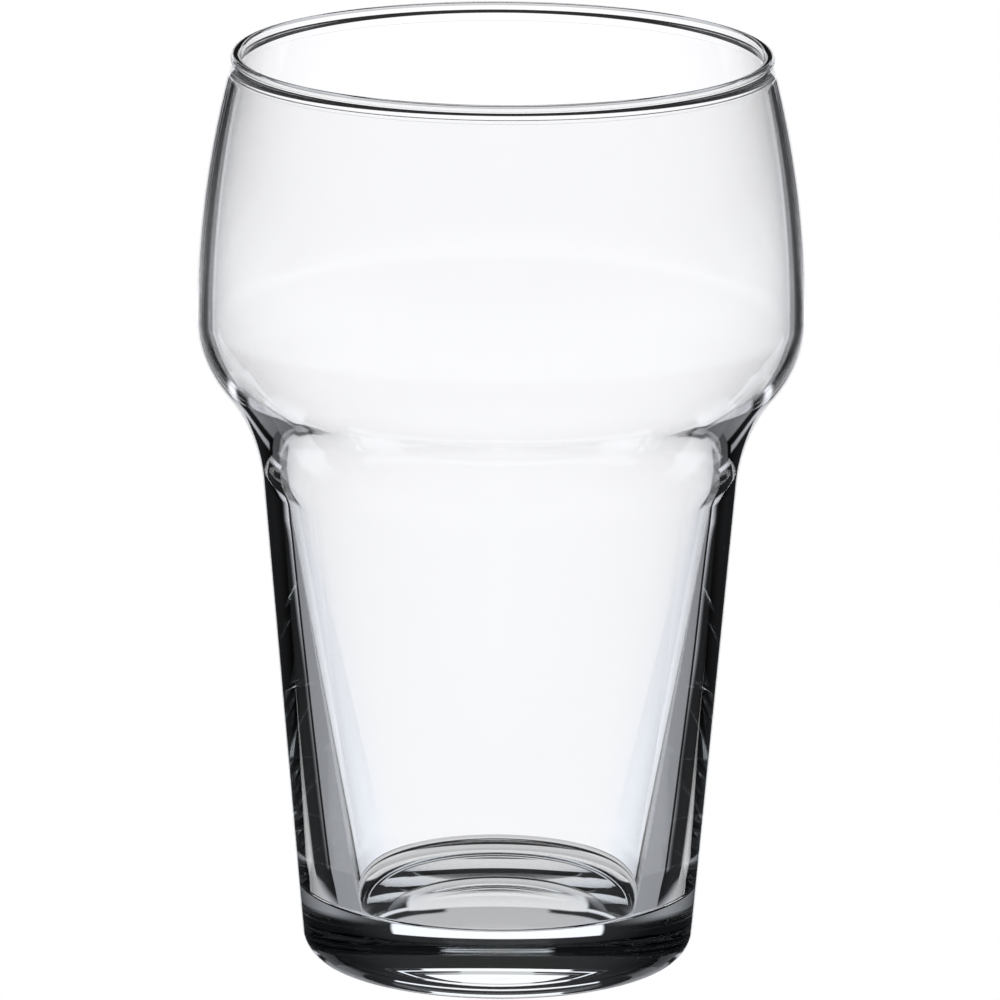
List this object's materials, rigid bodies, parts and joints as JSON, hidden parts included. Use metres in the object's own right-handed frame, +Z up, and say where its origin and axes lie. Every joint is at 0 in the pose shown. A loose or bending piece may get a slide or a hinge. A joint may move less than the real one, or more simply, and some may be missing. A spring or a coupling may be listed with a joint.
{
  "type": "pint glass",
  "caption": "Clear stacking pint tumbler with a rounded lip, a bulged bowl, a stepped neck and a thick tapered foot, for serving cold drinks.",
  "frame": {"origin": "centre of the ring that the glass stands on, on its axis", "axes": "+Z up along the axis of the glass, from the base to the lip"},
  "size_m": [0.097, 0.097, 0.148],
  "materials": {
    "clear_glass": "clear, fire-polished, with a faint grey-green tint where it is thick"
  },
  "bodies": {
    "root": {"glass_body": "clear_glass"}
  },
  "joints": []
}
